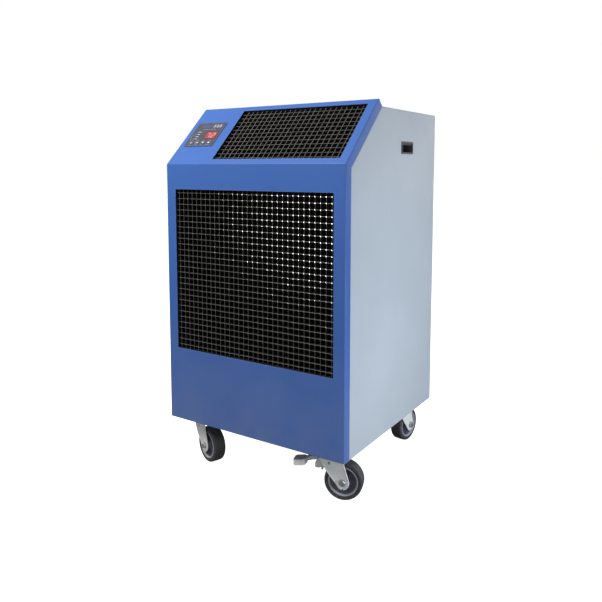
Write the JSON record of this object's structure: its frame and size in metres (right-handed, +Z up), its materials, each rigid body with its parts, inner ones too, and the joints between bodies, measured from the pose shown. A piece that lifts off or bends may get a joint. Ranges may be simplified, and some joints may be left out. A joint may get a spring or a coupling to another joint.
{
  "type": "portable air conditioner",
  "caption": "Floor-standing portable air conditioner: boxy cabinet with sloped supply grille, large front return grille, control panel and swivel casters.",
  "frame": {"origin": "on the floor, at the centre of the unit's outline with its casters as stored", "axes": "+X to the unit's right as seen from the front, +Y to the back, +Z up"},
  "size_m": [0.7426, 0.714, 1.2848],
  "materials": {
    "blue_paint": "satin powder coat, fine texture",
    "grey_paint": "satin powder coat, fine orange-peel texture",
    "black_aluminium": "black anodised blades with bright worn edges",
    "galvanized_steel": "galvanized sheet",
    "black_foam": "black foam",
    "coil_fins": "mill finish",
    "black_plastic": "matt moulded",
    "panel_overlay": "textured polyester overlay",
    "red_display": "tinted display window",
    "key_film": "embossed membrane",
    "black_enamel": "gloss enamel",
    "copper": "drawn tube",
    "brass": "machined",
    "bolt_steel": "zinc-plated",
    "zinc_plate": "yellowish bright zinc",
    "tyre_rubber": "moulded rubber",
    "wheel_hub": "moulded hub with a bright rim"
  },
  "bodies": {
    "cabinet": {"front_panel": "blue_paint", "return_grille": "black_aluminium", "supply_grille": "black_aluminium", "right_side_panel": "grey_paint", "left_side_panel": "grey_paint", "top_panel": "grey_paint", "back_panel": "grey_paint", "base_pan": "galvanized_steel", "inner_frame": "galvanized_steel", "divider_shelf": "galvanized_steel", "control_bezel": "panel_overlay", "display_window": "red_display", "control_module": "black_plastic", "right_handle": "black_plastic", "left_handle": "black_plastic", "air_filter": "black_foam", "evaporator_coil": "coil_fins", "drain_pan": "galvanized_steel", "blower_housing": "galvanized_steel", "discharge_plenum": "black_foam", "blower_motor": "black_plastic", "motor_bracket": "galvanized_steel", "compressor": "black_enamel", "condenser_coil": "copper", "refrigerant_pipes": "copper", "water_inlet": "brass", "water_outlet": "brass", "condensate_outlet": "brass", "cable_gland": "black_plastic", "condensate_pump": "black_plastic", "electrical_box": "galvanized_steel", "panel_screws": "bolt_steel", "caster_bolts": "bolt_steel", "front_right_caster_plate": "zinc_plate", "front_left_caster_plate": "zinc_plate", "rear_right_caster_plate": "zinc_plate", "rear_left_caster_plate": "zinc_plate"},
    "blower": {"blower_wheel": "galvanized_steel"},
    "key_power": {"key_power": "key_film"},
    "key_mode": {"key_mode": "key_film"},
    "key_down": {"key_down": "key_film"},
    "key_up": {"key_up": "key_film"},
    "front_right_swivel": {"front_right_fork": "zinc_plate", "front_right_axle": "bolt_steel"},
    "front_right_wheel": {"front_right_tyre": "tyre_rubber", "front_right_hub": "wheel_hub"},
    "front_right_brake": {"front_right_brake_lever": "zinc_plate"},
    "front_left_swivel": {"front_left_fork": "zinc_plate", "front_left_axle": "bolt_steel"},
    "front_left_wheel": {"front_left_tyre": "tyre_rubber", "front_left_hub": "wheel_hub"},
    "rear_right_swivel": {"rear_right_fork": "zinc_plate", "rear_right_axle": "bolt_steel"},
    "rear_right_wheel": {"rear_right_tyre": "tyre_rubber", "rear_right_hub": "wheel_hub"},
    "rear_left_swivel": {"rear_left_fork": "zinc_plate", "rear_left_axle": "bolt_steel"},
    "rear_left_wheel": {"rear_left_tyre": "tyre_rubber", "rear_left_hub": "wheel_hub"},
    "rear_left_brake": {"rear_left_brake_lever": "zinc_plate"}
  },
  "joints": [
    {"name": "blower_spin", "type": "hinge", "parent": "cabinet", "child": "blower", "pos_m": [0.083, 0.02276, 1.0307], "axis": [1, 0, 0], "continuous": true},
    {"name": "key_power_press", "type": "slide", "parent": "cabinet", "child": "key_power", "axis": [0, 0.6969, -0.7172], "range_m": [0, 0.0006], "stiffness_N_per_m": 400, "springref_m": -0.0005},
    {"name": "key_mode_press", "type": "slide", "parent": "cabinet", "child": "key_mode", "axis": [0, 0.6969, -0.7172], "range_m": [0, 0.0006], "stiffness_N_per_m": 400, "springref_m": -0.0005},
    {"name": "key_down_press", "type": "slide", "parent": "cabinet", "child": "key_down", "axis": [0, 0.6969, -0.7172], "range_m": [0, 0.0006], "stiffness_N_per_m": 400, "springref_m": -0.0005},
    {"name": "key_up_press", "type": "slide", "parent": "cabinet", "child": "key_up", "axis": [0, 0.6969, -0.7172], "range_m": [0, 0.0006], "stiffness_N_per_m": 400, "springref_m": -0.0005},
    {"name": "front_right_swivel_turn", "type": "hinge", "parent": "cabinet", "child": "front_right_swivel", "pos_m": [0.27, -0.266, 0.165], "axis": [0, 0, 1], "continuous": true},
    {"name": "front_right_wheel_roll", "type": "hinge", "parent": "front_right_swivel", "child": "front_right_wheel", "pos_m": [0.30527, -0.25481, 0.0635], "axis": [-0.3024, 0.9532, 0], "continuous": true},
    {"name": "front_right_brake_press", "type": "hinge", "parent": "front_right_swivel", "child": "front_right_brake", "pos_m": [0.26428, -0.26781, 0.124], "axis": [0.3024, -0.9532, 0], "range_deg": [0, 8]},
    {"name": "front_left_swivel_turn", "type": "hinge", "parent": "cabinet", "child": "front_left_swivel", "pos_m": [-0.27, -0.266, 0.165], "axis": [0, 0, 1], "continuous": true},
    {"name": "front_left_wheel_roll", "type": "hinge", "parent": "front_left_swivel", "child": "front_left_wheel", "pos_m": [-0.23523, -0.27865, 0.0635], "axis": [0.342, 0.9397, 0], "continuous": true},
    {"name": "rear_right_swivel_turn", "type": "hinge", "parent": "cabinet", "child": "rear_right_swivel", "pos_m": [0.27, 0.244, 0.165], "axis": [0, 0, 1], "continuous": true},
    {"name": "rear_right_wheel_roll", "type": "hinge", "parent": "rear_right_swivel", "child": "rear_right_wheel", "pos_m": [0.27451, 0.28072, 0.0635], "axis": [-0.9925, 0.1219, 0], "continuous": true},
    {"name": "rear_left_swivel_turn", "type": "hinge", "parent": "cabinet", "child": "rear_left_swivel", "pos_m": [-0.27, 0.244, 0.165], "axis": [0, 0, 1], "continuous": true},
    {"name": "rear_left_wheel_roll", "type": "hinge", "parent": "rear_left_swivel", "child": "rear_left_wheel", "pos_m": [-0.30527, 0.25519, 0.0635], "axis": [-0.3024, -0.9532, 0], "continuous": true},
    {"name": "rear_left_brake_press", "type": "hinge", "parent": "rear_left_swivel", "child": "rear_left_brake", "pos_m": [-0.26428, 0.24219, 0.124], "axis": [0.3024, 0.9532, 0], "range_deg": [0, 8]}
  ]
}
